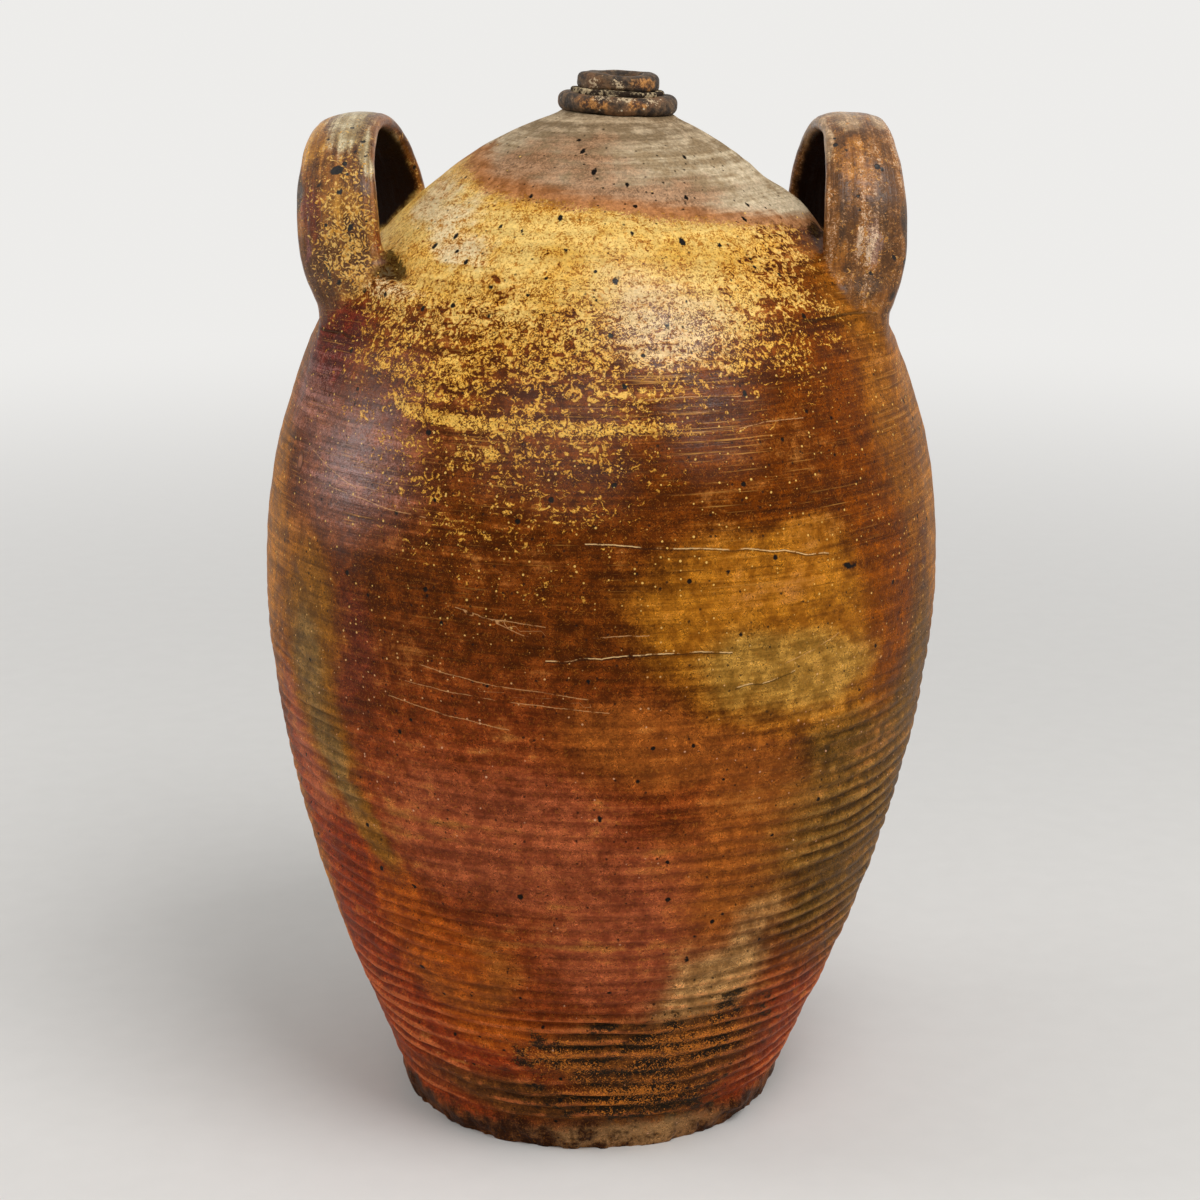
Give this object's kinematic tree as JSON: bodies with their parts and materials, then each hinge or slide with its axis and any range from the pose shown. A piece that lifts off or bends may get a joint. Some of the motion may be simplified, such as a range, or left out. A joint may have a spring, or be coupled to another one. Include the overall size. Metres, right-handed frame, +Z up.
{
  "type": "stoneware jug",
  "caption": "Tall ovoid stoneware storage jug with a ribbed lower wall, a domed shoulder, strap handles and a narrow ringed neck.",
  "frame": {"origin": "centre of the foot's underside, on the surface that the jug stands on", "axes": "+Z up towards the mouth, -Y towards the front, +X towards the right handle seen from the front"},
  "size_m": [0.3017, 0.3018, 0.4702],
  "materials": {
    "foot_clay": "bare fired clay, matte, dirty",
    "red_ribbed_glaze": "thin red-brown salt glaze over throwing ribs, semi-gloss",
    "orange_brown_glaze": "orange-brown glaze, semi-gloss",
    "ochre_ash_glaze": "yellow ochre ash glaze with pits, semi-gloss",
    "dark_bare_clay": "dark bare clay, matte",
    "gritty_residue": "gritty crust, matte",
    "left_handle_glaze": "brown glaze with yellow ash speckle, semi-gloss",
    "right_handle_glaze": "streaked orange-brown glaze, semi-gloss"
  },
  "bodies": {
    "root": {"foot_disc": "foot_clay", "lower_wall": "red_ribbed_glaze", "upper_wall": "orange_brown_glaze", "shoulder_dome": "ochre_ash_glaze", "neck": "dark_bare_clay", "collar_ring": "dark_bare_clay", "lip_ring": "dark_bare_clay", "groove_residue": "gritty_residue", "left_handle": "left_handle_glaze", "left_handle_front_pad": "left_handle_glaze", "left_handle_rear_pad": "left_handle_glaze", "right_handle": "right_handle_glaze", "right_handle_front_pad": "right_handle_glaze", "right_handle_rear_pad": "right_handle_glaze"}
  },
  "joints": []
}
